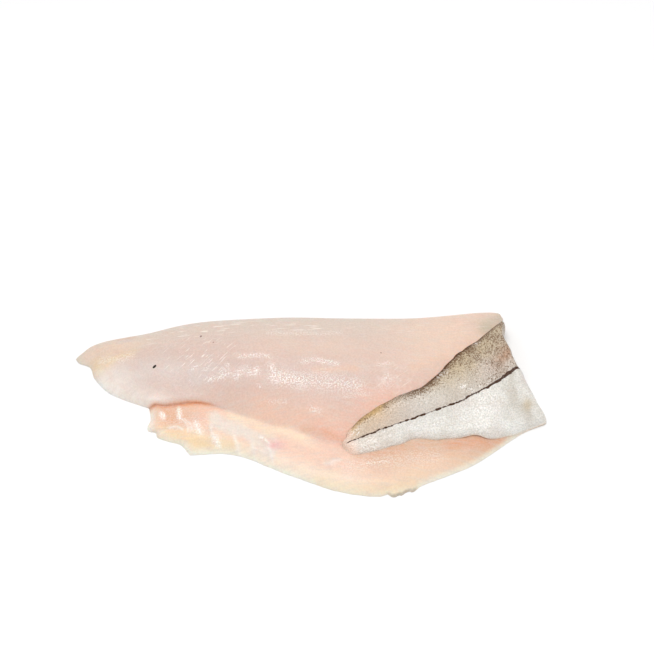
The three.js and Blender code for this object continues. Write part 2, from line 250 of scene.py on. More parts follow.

# Painted glints on the skin of the folded tail, given in the same way.
SKIN_GLINTS = [
    ([(78.5, 25.5), (81, 24)], 1.8, 0.9),
    ([(62.5, 4.5), (66, 7.4)], 1.2, 0.8),
    ([(74, 0.6), (78.7, -1)], 1.6, 0.8),
    ([(21.7, -22.7), (24.6, -21.4)], 1.6, 0.9),
    ([(85.4, -2.9), (82, -7.6), (86.5, -14.5), (80, -18.5)], 5, 0.7),
    ([(91.6, -4.8), (85.4, -2.9)], 3, 0.7),
    ([(32, -27.5), (26.4, -29.4)], 2.5, 0.8),
    ([(69.6, -21), (50, -20)], 3, 0.4),
]

# The flesh beside the folded tail, which lies in its shade.
BESIDE_TAIL = [(34, -30.5), (43, -27.5), (52, -25), (80, -23), (90, -20)]

# Grey patches on the tail's white skin beside the fold.
GREY_PATCHES = [(97, 8), (98.5, -4), (104, -7), (108.5, -10)]

# Markings along the folded tail: shares of its length, and the value there.
LATERAL_HALF_WIDTH = [(0.03, 1.05), (0.45, 0.47), (0.88, 0.47), (0.95, 0.2)]
BACK_STAIN = [(0.05, 0.5), (0.3, 1), (0.4, 1), (0.8, 0)]
PIGMENT_AT_LINE = [(0.1, 0.44), (0.4, 0.15)]

# Markings across the fish. Past the lateral line the skin is white.
LATERAL_AT_HEAD = 0.38
PIGMENT_AT_BACK = 0.68
PIGMENT_FALL = (0.1, 0.75)  # shares of the way from the back to the line, as below
PAST_LINE = (0.96, 1.02)
PIGMENT_PAST_LINE = 0.05
PIGMENT_AT_TIP = 0.75  # share of that at the fold

# Dark flecks on the flesh: place, half length and half width, turn in degrees, and colour.
SPOTS = [
    ((-74, 13.3), (1.1, 0.6), 45, (34, 24, 22)),
    ((-52, 28.2), (0.6, 0.45), 60, (150, 120, 112)),
    ((-45.7, 24.2), (0.4, 0.35), 0, (176, 146, 136)),
    ((35.4, 19.5), (0.4, 0.35), 0, (176, 146, 136)),
]

# Pale streaks in the flesh: where they show, length and width, and turn in degrees. On the flakes' edges they
# are painted highlights.
STREAKS = [("flaky_and_glinting", (6, 0.75), 40), ("fibrous", (9, 0.75), 4)]

# Patterns along the fish: length and width, and how they lean in degrees.
FIBRES = (8, 1.1)
RIPPLES = (6.7, 3.6)
GLITTER = (1.1, 0.85)
GLINT_FLECKS = (0.75, 0.55)
SIDE_SLOPE = -20

# Patterns alike every way, by their count to the metre.
FLESH_BLOTCHES = 160
FLESH_GRAIN = 1100
SKIN_DRIFT = 170
SKIN_GRAIN = 1600
SKIN_NET = 620
SKIN_SCALES = 900
SPARKLES = 1300
RAGS = 900
LINE_WANDER = 260
LINE_DASHES = 420
SPECKLES = [(1600, 0.75), (2600, 0.7)]  # each with its strength

# The grey that the fine grain darkens a tone with.
FLESH_GRAIN_GREY = (0.94, 0.94, 0.94, 1)
SKIN_GRAIN_GREY = (0.79, 0.79, 0.78, 1)

# Cells of the surface grid, and how far they crowd towards its edges: 0 is even.
BODY_CELLS = 250
BEND_CELLS = 18
TAIL_CELLS = 120
LOIN_CELLS = 84
BELLY_CELLS = 44
CROWDING = 0.45

# For the workings below.
CURVE_STEPS = 60  # for each span of an outline
LINE_STEPS = 200  # along the lateral line
FOLD_STEP = 0.01  # to either side, for the direction of the fold
WAVE_GRID = 64  # random heights each way before they repeat
PLUMB_HEIGHT = 100  # that plumb lines are dropped from
HALF_MAP = 0.49  # share of the bake map for the flesh, and for the skin

# The camera looks along +Y and down, at a point on the floor by the back edge.
CAMERA_AIM = (9.3, 44.6, 0)
CAMERA_ELEVATION = math.radians(57)
CAMERA_DISTANCE = 817.5
CAMERA_LENS = 90
CAMERA_SENSOR = 36

# The studio, in metres and watts.
FLOOR_SIZE = 12
FLOOR_WHITE = (0.97, 0.97, 0.97, 1)
SOFTBOX_PLACE = (0, -0.08, 1)
SOFTBOX_SIZE = (0.5, 0.2)
SOFTBOX_POWER = 4.6
SKY_STRENGTH = 0.69


def lerp(low, high, share):
    return low + (high - low) * share


def rise(x, low, high):
    """Rises smoothly from 0 at a low x to 1 at a high one."""
    share = np.clip((x - low) / (high - low), 0, 1)
    return share * share * (3 - 2 * share)


def fall(x, low, high):
    return 1 - rise(x, low, high)


def profile(x, points):
    """Runs smoothly through points, each a place on x and the value there."""
    value = points[0][1]
    for (low, _), (high, end) in zip(points, points[1:]):
        value = lerp(value, end, rise(x, low, high))
    return value


def rounding(distance, radius):
    """Rises from 0 at an edge to 1 at one radius, along a quarter of an ellipse."""
    return np.sqrt(1 - (1 - np.clip(distance / radius, 0, 1)) ** 2)


def taper(distance, reach):
    """Rises from 0 at an edge to 1 at one reach, along a parabola."""
    return 1 - (1 - np.clip(distance / reach, 0, 1)) ** 2


def bump(x, centre, width):
    return np.exp(-(((x - centre) / width) ** 2))


def gap(a, b):
    return np.linalg.norm(a - b, axis=-1)


def unit(vectors):
    return vectors / np.linalg.norm(vectors, axis=-1, keepdims=True)


def in_plan(points):
    """The place of points: their x and their y."""
    return points[..., 0], points[..., 1]


def spread(cells):
    """Shares from 0 to 1 that crowd together at both ends."""
    even = np.linspace(0, 1, cells + 1)
    return lerp(even, (1 - np.cos(np.pi * even)) / 2, CROWDING)


def waves(place, lengths, seed):
    """Smooth waves from -1 to 1, with a new random height after every length."""
    x, y = place[0] / lengths[0], place[1] / lengths[1]
    heights = np.random.default_rng(seed).uniform(-1, 1, (WAVE_GRID, WAVE_GRID))
    column, row = np.floor(x).astype(int), np.floor(y).astype(int)
    right, up = rise(x - column, 0, 1), rise(y - row, 0, 1)

    def at(r, c):
        return heights[r % WAVE_GRID, c % WAVE_GRID]

    low = lerp(at(row, column), at(row, column + 1), right)
    high = lerp(at(row + 1, column), at(row + 1, column + 1), right)
    return lerp(low, high, up)


def wavering(points, reach, length, seeds):
    """The place of points, moved by random waves to give uneven edges to what is drawn there."""
    place = in_plan(points)
    return [axis + reach * waves(place, (length, length), seed) for axis, seed in zip(place, seeds)]


def stroke(place, points, width):
    """A soft line through points: 1 along its middle, and fading out at about one width from it."""
    x, y = place
    distances = []
    for (x0, y0), (x1, y1) in zip(points, points[1:]):
        span = math.hypot(x1 - x0, y1 - y0)
        along = np.clip(((x - x0) * (x1 - x0) + (y - y0) * (y1 - y0)) / span ** 2, 0, 1)
        distances.append(np.hypot(x - lerp(x0, x1, along), y - lerp(y0, y1, along)))
    return bump(np.minimum.reduce(distances), 0, width)


def strongest(place, lines):
    """The strongest of many soft lines, each with its points, width and strength."""
    return np.maximum.reduce([strength * stroke(place, points, width) for points, width, strength in lines])


def dab(place, at, size, turn=0):
    """A soft oval: 1 at its middle, and fading out at about its size from there."""
    across, along = math.sin(math.radians(turn)), math.cos(math.radians(turn))
    dx, dy = place[0] - at[0], place[1] - at[1]
    return bump((dx * along + dy * across) / size[0], 0, 1) * bump((dy * along - dx * across) / size[1], 0, 1)


def plan(shares):
    return (np.array(shares) - 0.5) * (LENGTH, WIDTH)


def curve(points):
    """A smooth curve through plan points, as a function of its share of length."""
    ends = np.vstack([points[:1], points, points[-1:]])
    t = np.linspace(0, 1, CURVE_STEPS)[:, None]
    spans = []
    for before, start, end, after in zip(ends, ends[1:], ends[2:], ends[3:]):
        leave, arrive = (end - before) / 2, (after - start) / 2
        cubic = 2 * (start - end) + leave + arrive
        square = 3 * (end - start) - 2 * leave - arrive
        spans.append(((cubic * t + square) * t + leave) * t + start)
    path = np.vstack(spans)
    lengths = np.concatenate([[0], np.cumsum(gap(path[1:], path[:-1]))])
    shares = lengths / lengths[-1]
    return lambda share: np.stack([np.interp(share, shares, path[:, axis]) for axis in (0, 1)], -1)


fold_line = curve(plan(FOLD_LINE))
back_edge = curve(plan(BACK_EDGE))
seam = curve(np.vstack([plan(SEAM), fold_line(SEAM_AT_FOLD)]))
belly_edge = curve(plan(BELLY_EDGE))
nape_edge = curve(plan(NAPE_EDGE))
torn_edge = curve(plan(TORN_EDGE))
tail_back_edge = curve(plan(TAIL_BACK_EDGE))
tail_belly_edge = curve(plan(TAIL_BELLY_EDGE))
tail_tip = curve(plan(TAIL_TIP))
lateral_line = curve(plan(LATERAL_LINE))


def patch(rail_a, rail_b, start, end, s, q):
    """Plan points between two rails, which bow near the ends to meet the points of a start and an end."""
    def straight(share):
        return lerp(rail_a(share), rail_b(share), q[..., None])

    to_start = (start - straight(np.zeros_like(s))) * ((1 - s) ** 3)[..., None]
    to_end = (end - straight(np.ones_like(s))) * (s ** 3)[..., None]
    return straight(s) + to_start + to_end


def loin_thickness(s):
    swell = lerp(NAPE_THICKNESS, LOIN_THICKNESS, rise(s, *SWELLING))
    return lerp(swell, TAIL_THICKNESS, rise(s, *THINNING))


def parting(s):
    """1 near the head end, where the loin stands clear of the belly flap, and 0 where they run together."""
    return fall(s, *JOINING)


def loin_section(s, q):
    """Height of the loin before its outer edges are rounded, and its lean over the seam."""
    seam_height = BELLY_THICKNESS - SEAM_DEPTH * parting(s)
    shoulder = BELLY_THICKNESS + SHOULDER_STEP * parting(s)
    past_crest = (q - CREST) / (1 - CREST)
    back_side = loin_thickness(s) * (1 - BACK_FALL * (1 - np.minimum(q / CREST, 1)) ** 2)
    belly_fall = lerp(past_crest ** 2, rise(past_crest, 0, 1), SIDE_HOLLOW * (1 - parting(s)))
    crowned = np.where(q < CREST, back_side, lerp(loin_thickness(s), shoulder, belly_fall))
    grooved = rise(s, *GROOVE_START) * fall(s, *GROOVE_END)
    groove = GROOVE_DEPTH * bump(q, GROOVE_PLACE, GROOVE_WIDTH) * grooved
    step_place = lerp(*NAPE_STEP_PLACE, np.clip(s / NAPE_STEP_REACH, 0, 1))
    past_step = (q - step_place) / NAPE_STEP_WIDTH
    step = NAPE_STEP * fall(past_step, -0.5, 0.5) * fall(s, *NAPE_STEP_END)
    from_seam = (1 - q) * gap(back_edge(s), seam(s))
    height = lerp(seam_height, crowned - groove + step, rounding(from_seam, SEAM_ROUND))
    lean = np.where(q < 1, OVERHANG * parting(s) * rise(q, *LEANING), 0)
    return height, lean


def belly_section(s, q):
    """Height of the belly flap before its outer edges are rounded."""
    seam_height = BELLY_THICKNESS - SEAM_DEPTH * parting(s)
    from_seam = q * gap(seam(s), belly_edge(s))
    flap = lerp(BELLY_THICKNESS, BELLY_EDGE_THICKNESS, q)
    return lerp(seam_height, flap, rounding(from_seam, SEAM_ROUND))


def frayed(place, s, q, from_side):
    """Plan points with small tags along the torn end and the outer edge of the belly flap."""
    x, y = in_plan(place)
    still = np.zeros_like(x)
    at_end = np.clip(1 - s * LENGTH / TAG_REACH, 0, 1)
    at_side = np.clip(1 - from_side / TAG_REACH, 0, 1) * (1 - at_end)
    tags = waves((x, still), *EDGE_TAG_WAVES) + 0.6 * waves((x, still), *SMALL_TAG_WAVES)
    out = TORN_TAGS * at_end * waves((y, still), *TORN_TAG_WAVES)
    down = EDGE_TAGS * at_side * profile(x, RAGGEDNESS) * tags
    loose = rise(q, *TAG_START) * (1 - s ** 8)
    return lerp(place, np.stack([x + out, y + down], -1), loose[..., None])


def solid(plan_points, heights):
    return np.concatenate([plan_points, heights[..., None]], -1)


def body_part(s, q, on_loin):
    """Flesh points and skin points of the loin or the belly flap, and a share from 0 at the rim to 1."""
    s, q = np.broadcast_arrays(s[:, None], q[None, :])
    if on_loin:
        across = SEAM_AT_FOLD * q
        place = patch(back_edge, seam, nape_edge(q), fold_line(across), s, q)
        height, lean = loin_section(s, q)
        from_side = q * gap(back_edge(s), seam(s))
        head_reach = lerp(NAPE_TAPER, TORN_TAPER, rise(q, *NAPE_SIDE))
        share = rounding(from_side, BACK_ROUND) * taper(s * LENGTH, head_reach)
    else:
        across = lerp(SEAM_AT_FOLD, 1, q)
        place = patch(seam, belly_edge, torn_edge(q), fold_line(across), s, q)
        height, lean = belly_section(s, q), np.zeros_like(q)
        from_side = (1 - q) * gap(seam(s), belly_edge(s))
        share = taper(from_side, BELLY_TAPER) * taper(s * LENGTH, TORN_TAPER)
        place = frayed(place, s, q, from_side)
    rim = lerp(HEAD_RIM, lerp(BACK_RIM, BELLY_RIM, across), np.clip(s * LENGTH / RIM_RISE, 0, 1))
    skin_share = rounding(from_side, SKIN_ROUND) * rounding(s * LENGTH, SKIN_ROUND)
    to_belly = unit(belly_edge(s) - back_edge(s))
    leaning = place + to_belly * (lean * share)[..., None]
    x, y = in_plan(place)
    a, b, c, d = UNEVEN_LENGTHS
    first, second = UNEVEN_PHASES
    uneven = UNEVENNESS * (np.sin(x / a + first) * np.cos(y / b) + np.sin(x / c - y / d + second))
    flesh = solid(leaning, lerp(rim, height + uneven, share))
    skin = solid(place, rim * (1 - skin_share))
    return flesh, skin, share


def grid_faces(index):
    corners = index[:-1, :-1], index[:-1, 1:], index[1:, 1:], index[1:, :-1]
    return np.stack(corners, -1).reshape(-1, 4)


def bed_of(flesh):
    """Drops plumb lines onto the flesh. One that falls beside it takes the height of the nearest flesh."""
    points = flesh.reshape(-1, 3)
    faces = grid_faces(np.arange(len(points)).reshape(flesh.shape[:2]))
    tree = BVHTree.FromPolygons(points.tolist(), faces.tolist())
    flat = BVHTree.FromPolygons((points * (1, 1, 0)).tolist(), faces.tolist())

    def height(x, y):
        landing = tree.ray_cast(Vector((x, y, PLUMB_HEIGHT)), Vector((0, 0, -1)))[0]
        if landing is not None:
            return landing.z
        nearest = faces[flat.find_nearest(Vector((x, y, 0)))[2]]
        return points[nearest, 2].mean()

    return np.vectorize(height)


def tail_edge_waves(place, s, across):
    """How far small waves move the edges of the folded tail."""
    x, y = in_plan(place)
    near_edge = profile(across, WAVY_SIDES) * np.sin(np.pi * s) + rise(s, *WAVY_TIP)
    sway = np.stack([waves((y, x), *TAIL_WAVES_IN_X), waves((x, y), *TAIL_WAVES_IN_Y)], -1)
    return TAIL_EDGE_WAVES * near_edge[..., None] * sway


def tail_part(across, thickness, bed):
    """Flesh points and skin points of the folded tail, laid on the flesh below."""
    s, across = np.broadcast_arrays(spread(TAIL_CELLS)[:, None], across[None, :])
    place = patch(tail_back_edge, tail_belly_edge, fold_line(across), tail_tip(across), s, across)
    place = place + tail_edge_waves(place, s, across)
    x, y = in_plan(place)
    breadth = gap(tail_back_edge(s), tail_belly_edge(s))
    from_side = breadth * np.minimum(across, 1 - across)
    from_tip = (1 - s) * gap(tail_back_edge(0), tail_back_edge(1))
    lift = FOLD_GAP + EDGE_LIFT * rise(across, *LIFTED) * bump(s, LIFT_PLACE, LIFT_WIDTH)
    here = bed(x, y)
    beside = [bed(x - TAIL_SPAN, y), bed(x + TAIL_SPAN, y), bed(x, y - TAIL_SPAN), bed(x, y + TAIL_SPAN)]
    under = here + lift
    top = (here + sum(beside)) / (1 + len(beside)) + lift + thickness * lerp(1, TIP_SHARE, s)
    to_belly = rise(across, *BELLY_SIDE)
    rim = lerp(under, top, lerp(*TAIL_RIM, to_belly)) - TAIL_SINK * rise(s, *SINKING)

    def share(radius):
        return rounding(from_side, radius) * rounding(from_tip, radius)

    flesh = solid(place, lerp(rim, under, share(TAIL_ROUND)))
    skin = solid(place, lerp(rim, top, share(lerp(*TAIL_SKIN_ROUND, to_belly))))
    return flesh, skin


def bend_part(across, below, above):
    """Flesh points and skin points of the bend, where flesh meets flesh inside the skin."""
    turn = (np.arange(1, BEND_CELLS) / BEND_CELLS)[:, None, None]
    out, up = np.sin(np.pi * turn), (1 - np.cos(np.pi * turn)) / 2
    still = np.zeros_like(across)
    along = unit(fold_line(across + FOLD_STEP) - fold_line(across - FOLD_STEP))
    outward = np.stack([-along[:, 1], along[:, 0], still], -1)
    (flesh_below, skin_below), (flesh_above, skin_above) = below, above
    bulge = lerp(*FOLD_BULGE, rise(across, *BELLY_SIDE))
    bulge *= 1 + FOLD_WAVES * waves((across, still), *FOLD_SWELL_WAVES)
    swell = bulge[:, None] * (skin_above - skin_below)[:, 2:] / 2
    flesh = lerp(flesh_below, flesh_above, up) + outward * (FOLD_GAP / 2) * out
    skin = lerp(skin_below, skin_above, up) + outward * swell * out
    flesh[:, [0, -1]] = skin[:, [0, -1]]
    return flesh, skin


class Sheet:
    """The whole fillet as two grids of points, and each point's place on the fillet."""

    def __init__(self):
        s, tail_s = spread(BODY_CELLS), spread(TAIL_CELLS)
        turn = np.arange(1, BEND_CELLS) / BEND_CELLS
        loin_q, belly_q = spread(LOIN_CELLS), spread(BELLY_CELLS)[1:]
        end = np.ones_like
        loin, belly = body_part(s, loin_q, True), body_part(s, belly_q, False)
        flesh, skin, share = [np.concatenate(pair, 1) for pair in zip(loin, belly)]
        across = np.concatenate([SEAM_AT_FOLD * loin_q, lerp(SEAM_AT_FOLD, 1, belly_q)])
        sections = [loin_section(end(loin_q), loin_q)[0], belly_section(end(belly_q), belly_q)]
        tail = tail_part(across, np.concatenate(sections), bed_of(flesh))
        bend = bend_part(across, (flesh[-1], skin[-1]), (tail[0][0], tail[1][0]))
        self.flesh = np.concatenate([flesh, bend[0], tail[0]])
        self.skin = np.concatenate([skin, bend[1], tail[1]])
        self.share = np.concatenate([share, np.zeros((len(self.flesh) - len(share), len(across)))])
        self.body_s = np.concatenate([s, end(turn), end(tail_s)])[:, None]
        self.tail_s = np.concatenate([s * 0, turn * 0, tail_s])[:, None]
        self.folded = np.concatenate([s * 0, turn, end(tail_s)])[:, None]
        self.across = across[None, :]
        self.loin_q = np.concatenate([loin_q, end(belly_q)])[None, :]
        self.belly_q = np.concatenate([loin_q * 0, belly_q])[None, :]
        self.u = np.pad(gap(self.skin[1:], self.skin[:-1]), ((1, 0), (0, 0))).cumsum(0)
        self.v = np.pad(gap(self.skin[:, 1:], self.skin[:, :-1]), ((0, 0), (1, 0))).cumsum(1)
        self.centre()
        self.flesh[..., 2] += flesh_relief(self) * self.share

    def centre(self):
        """Puts the origin under the middle of the fillet, on the surface that it lies on."""
        points = np.concatenate([self.flesh, self.skin])
        middle = (points.min((0, 1)) + points.max((0, 1))) / 2
        middle[2] = points[..., 2].min()
        self.flesh -= middle
        self.skin -= middle


def flake_phase(sheet):
    """Counts the sheets of tissue between flakes, which fan out both ways from the loin's groove."""
    groove_v = sheet.v[:, LOIN_CELLS][:, None] * GROOVE_PLACE
    slant = profile(sheet.body_s, FLAKE_SLANT)
    return (sheet.u - slant * np.abs(sheet.v - groove_v)) / FLAKE_PITCH


def flaky_and_glinting(sheet):
    """Where the edges of the flakes show, as ridges and as pale streaks painted white as their glints."""
    place = in_plan(sheet.flesh)
    return np.maximum.reduce([strength * dab(place, at, size) for at, size, strength in FLAKY_GLINTING_PLACES])


def fibrous(sheet):
    """Where pale fibres show along the back of the loin."""
    return strongest(in_plan(sheet.flesh), FIBROUS_PLACES)


def wetness_and_glints(sheet):
    """Where water stands on the flesh: it has a clear coat there, and painted white glints."""
    place = wavering(sheet.flesh, *GLINT_WAVER)
    return np.clip(DAMPNESS + strongest(place, WET_AND_GLINT_PLACES), 0, 1)


def painted_skin_glints(sheet):
    """Where white glints are painted on the skin of the folded tail."""
    place = wavering(sheet.skin, *GLINT_WAVER)
    return sheet.folded * strongest(place, SKIN_GLINTS)


def film_cover(sheet):
    """Where the white film covers the belly flap."""
    place = wavering(sheet.flesh, *FILM_WAVER)
    patchy = stroke(place, *FILM_BAND) + 0.8 * dab(place, *FILM_PATCH)
    return rise(patchy, *FILM_EDGE) * rise(sheet.belly_q, *FILM_START)


def strands(sheet):
    """Where the strands of that film run."""
    place = wavering(sheet.flesh, *STRAND_WAVER)
    return np.maximum.reduce([stroke(place, points, width) for points, width in STRANDS])


def flesh_relief(sheet):
    """Fine relief of the flesh: fibres, the edges of flakes, and the wrinkled film on the belly flap."""
    place = in_plan(sheet.flesh)
    on_loin = fall(sheet.belly_q, 0, 0.05)
    phase = flake_phase(sheet)
    broken = rise(waves(place, *FLAKE_WAVES), -0.3, 0.5)
    ridges = bump(np.abs(phase - np.round(phase)), 0, RIDGE_WIDTH) * flaky_and_glinting(sheet) * broken
    fibres = waves((sheet.u, sheet.v), *FIBRE_WAVES)
    wrinkles = waves(place, *WRINKLES) + 0.5 * waves(place, *SMALL_WRINKLES)
    film = FILM_RELIEF * wrinkles * lerp(BARE_RELIEF, 1, film_cover(sheet)) + STRAND_RIDGE * strands(sheet)
    return lerp(film, FLAKE_RIDGE * ridges + FIBRE_RELIEF * fibres, on_loin)


def colour(red, green, blue):
    """A display colour from 0 to 255, as the linear colour that shaders take, with its alpha."""
    display = np.array([red, green, blue]) / 255
    linear = np.where(display < 0.04045, display / 12.92, ((display + 0.055) / 1.055) ** 2.4)
    return np.append(linear, 1)


def blend(ground, layers, shape):
    """Lays colours over a ground, each by its own share."""
    tone = np.broadcast_to(ground, shape + (4,))
    for layer, share in layers:
        tone = lerp(tone, layer, np.broadcast_to(np.clip(share, 0, 1), shape)[..., None])
    return tone


PINK = colour(215, 189, 178)
CREAM = colour(219, 202, 188)
PEARL = colour(220, 205, 197)
LILAC = colour(217, 200, 194)
LIP = colour(250, 241, 232)
HONEY = colour(231, 205, 182)
GOLD = colour(233, 202, 156)
LEMON = colour(238, 222, 196)
ROSE = colour(222, 191, 176)
PEACH = colour(236, 207, 187)
BLUSH = colour(235, 187, 166)
SALMON = colour(239, 196, 172)
ORANGE = colour(222, 162, 126)
AMBER = colour(224, 168, 128)
# Painted shade in the crease of the seam at the head end: a wider orange band, then a darker line.
SEAM_SHADE = colour(234, 168, 122)
CREASE_SHADE = colour(210, 126, 78)
STRAW = colour(239, 211, 168)
FILM = colour(235, 224, 212)
BAND = colour(250, 224, 196)
BELLY = colour(242, 205, 184)
OUTER = colour(248, 229, 209)
APRICOT = colour(239, 205, 176)
SHADE = colour(214, 172, 142)
CORNER = colour(196, 184, 163)
STAIN = colour(236, 176, 174)
STREAK = colour(238, 198, 170)
TAG_GREY = colour(168, 152, 134)
# Painted light: a pale glow for the thin outer edges of the flesh, against the shade on their rims.
PAINTED_EDGE_LIGHT = colour(252, 240, 222)
GLINT = colour(255, 250, 245)


def loin_layers(sheet, place, wavy, on_loin):
    """Layers of colour on the loin: each a colour, and its share at each point."""
    x, s, q = wavy[0], sheet.body_s, sheet.loin_q
    return [
        (CREAM, fall(q, 0.1, 0.42)),
        (PEACH, rise(x, 20, 70) * fall(q, 0.4, 0.8)),
        (PEACH, 0.5 * dab(wavy, (6, 21), (38, 7))),
        (PEACH, 0.4 * dab(wavy, (24, 11), (10, 5))),
        (ROSE, 0.9 * rise(q, 0.6, 0.85)),
        (SALMON, 0.65 * stroke(wavy, [(-22, -8), (14, -19)], 7.5)),
        (PEARL, 0.95 * stroke(wavy, [(-91, 10), (-55, 7.5)], 8)),
        (PINK, 0.8 * stroke(wavy, [(-86, 3), (-58, 2)], 6)),
        (LILAC, 0.6 * dab(wavy, (-48, 8), (14, 5))),
        (HONEY, 0.9 * dab(wavy, (-98, 25), (17, 7.5), 14)),
        (LEMON, 0.7 * dab(wavy, (-102, 18), (7, 4))),
        (GOLD, 0.55 * stroke(wavy, [(-103, 21.3), (-94, 20.2), (-85.5, 20.5)], 2.6)),
        (LILAC, 0.7 * stroke(place, [(-93, 29), (-86.5, 29.4)], 1.4)),
        (ORANGE, 0.45 * stroke(place, [(-93.5, 32), (-86.3, 32.2)], 1.3)),
        (LIP, 0.8 * fall(s, 0, 0.1) * rise(q, 0.25, 0.45)),
        (BLUSH, 0.7 * dab(wavy, (34, -5), (22, 8), 28) * on_loin),
        (STREAK, 0.45 * stroke(place, [(3, 8.2), (12.8, 8.6), (23, 10)], 1.5)),
        (STREAK, 0.4 * stroke(place, [(51, 13), (66, 20)], 2)),
    ]


def belly_layers(sheet, place, wavy, on_belly):
    """Layers of colour on the belly flap."""
    x, belly = wavy[0], sheet.belly_q
    return [
        (BELLY, on_belly),
        (OUTER, 0.9 * on_belly * rise(belly, 0.35, 0.9)),
        (APRICOT, 0.8 * on_belly * rise(x, 15, 50)),
        (AMBER, 0.8 * on_belly * dab(wavy, (-65, -9), (15, 8))),
        (STRAW, 0.9 * on_belly * stroke(wavy, [(-70, -20), (-37, -27)], 5)),
        (FILM, 0.85 * film_cover(sheet)),
        (BAND, 0.8 * stroke(wavy, [(-36, -9.6), (1, -23)], 2.8)),
        (BLUSH, 0.9 * stroke(wavy, [(4, -19), (22, -23)], 4)),
        (ORANGE, 0.4 * stroke(wavy, [(-4, -17.5), (8, -20.5), (20, -22.5)], 1.5)),
        (LIP, 0.7 * stroke(wavy, [(-74, -8), (-75, -16)], 2)),
        (STAIN, 0.8 * dab(wavy, (-14, -24.5), (4.5, 2.2), -30)),
        # Painted shade beside the folded tail, and painted orange shadow right under its edge, near the fold
        # and near the tip.
        (SHADE, 0.8 * on_belly * stroke(place, BESIDE_TAIL, 10)),
        (ORANGE, 0.85 * stroke(place, [(68, -24.5), (80, -23.5), (92, -21)], 3)),
        (ORANGE, 0.5 * stroke(place, [(24, -31.5), (34, -30), (44, -27)], 2)),
        # Pale strands of film, painted whiter still as painted highlights where they glint.
        (LIP, 0.7 * strands(sheet)),
    ]


def edge_layers(sheet, place, wavy, on_loin, on_belly):
    """Layers that go over both: a painted shimmer, the outer edges with painted light on their thin rims, the
    flesh under the folded tail painted pale against its shade, and painted shade in the seam's crease at the
    head end.
    """
    s, q, belly = sheet.body_s, sheet.loin_q, sheet.belly_q
    shimmer = dab(wavy, (42, 6), (13, 9)) * rise(waves(place, *SHIMMER_WAVES), 0, 0.7)
    thin_edge = np.maximum(rise(belly, 0.85, 1), fall(s, 0, 0.035))
    at_corner = profile(wavy[0], [(34, 0), (40, 1), (50, 1), (54, 0)])
    parted = fall(s, 0.13, 0.2)

    def seam_line(loin_width, belly_width):
        return bump(q, 1, loin_width) * on_loin + bump(belly, 0, belly_width) * on_belly

    return [
        # Painted highlights: a faint shimmer of pale grains on the loin beside the folded tail.
        (LIP, 0.25 * shimmer),
        (CORNER, 0.9 * stroke(wavy, [(87, 38.5), (97, 45.5)], 6)),
        # Painted light: the thin outer edge and torn end of the belly flap are lightened against the shade on
        # their rounded rims.
        (PAINTED_EDGE_LIGHT, 0.8 * on_belly * thin_edge),
        (STRAW, 0.4 * stroke(wavy, [(6, -45), (20, -49.5), (36, -49), (50, -45)], 5)),
        (TAG_GREY, 0.8 * on_belly * at_corner * rise(belly, 0.94, 0.98)),
        # Painted light: the flesh side of the folded tail is painted pale, against the shade in the gap under
        # its edge.
        (OUTER, sheet.folded),
        # Painted shade: the seam's crease under the loin's overhang, orange around it and darkest along it.
        (SEAM_SHADE, 0.75 * parted * seam_line(0.022, 0.06)),
        (CREASE_SHADE, 0.75 * parted * seam_line(0.006, 0.01)),
    ]


def flesh_tone(sheet):
    """The broad colours of the flesh."""
    place = in_plan(sheet.flesh)
    wavy = wavering(sheet.flesh, *TONE_WAVER)
    on_belly = rise(sheet.belly_q, 0, 0.06)
    on_loin = 1 - on_belly
    layers = loin_layers(sheet, place, wavy, on_loin)
    layers += belly_layers(sheet, place, wavy, on_belly)
    layers += edge_layers(sheet, place, wavy, on_loin, on_belly)
    return blend(PINK, layers, sheet.u.shape)


SKIN_WHITE = colour(233, 229, 222)
# Painted sheen: a brighter white laid where the skin catches the light, and over the shaded bend.
PAINTED_SKIN_SHEEN = colour(243, 241, 236)
SKIN_TAN = colour(211, 200, 188)
SKIN_OLIVE = colour(204, 180, 138)
SKIN_GOLD = colour(212, 176, 116)
SKIN_GREY = colour(200, 192, 179)
SKIN_ROSE = colour(222, 206, 198)
SKIN_SAND = colour(222, 190, 154)
# The tip's own pink, made brighter as painted light against the shade on its rounded rim.
LIT_SKIN_PINK = colour(254, 222, 204)
SKIN_RUST = colour(182, 134, 100)
SPECKLE = colour(102, 65, 18)
THUMBPRINT = colour(96, 88, 82)
BACK_BROWN = colour(80, 46, 8)
LINE_BLACK = colour(66, 34, 6)


def lateral_place(sheet):
    """Where the lateral line runs, from 0 at the back edge to 1 at the belly edge."""
    line = lateral_line(np.linspace(0, 1, LINE_STEPS))
    below = np.interp(sheet.skin[..., 0], line[:, 0], line[:, 1]) - sheet.skin[..., 1]
    on_tail = np.array([np.interp(0, row, sheet.across[0]) for row in below])[:, None]
    on_body = lerp(LATERAL_AT_HEAD, on_tail[-TAIL_CELLS], sheet.body_s)
    return np.where(sheet.folded < 1, on_body, on_tail)


def lateral_distance(sheet):
    """Distance in millimetres from the lateral line, negative on the back's side."""
    return (sheet.across - lateral_place(sheet)) * sheet.v[:, -1:]


def lateral_width(sheet):
    """Half the width of the lateral line in millimetres."""
    return profile(sheet.tail_s, LATERAL_HALF_WIDTH)


def pigment(sheet):
    """How thickly the skin is speckled: most along the back, little below the lateral line."""
    to_line = sheet.across / lateral_place(sheet)
    at_line = profile(sheet.tail_s, PIGMENT_AT_LINE)
    above = lerp(PIGMENT_AT_BACK, at_line, rise(to_line, *PIGMENT_FALL))
    above = above * lerp(1, PIGMENT_AT_TIP, sheet.tail_s)
    return lerp(above, PIGMENT_PAST_LINE, rise(to_line, *PAST_LINE))


def back_stain(sheet):
    """How dark the back edge is stained: most on the first half of the folded tail."""
    return profile(sheet.tail_s, BACK_STAIN)


def cut_edge(sheet):
    """Where the pale flesh shows along the back edge. The skin wraps round the fold."""
    return (2 * sheet.folded - 1) ** 2


def from_back(sheet):
    """Distance in millimetres from the back edge, straight across."""
    return sheet.across * gap(sheet.skin[:, -1:], sheet.skin[:, :1])


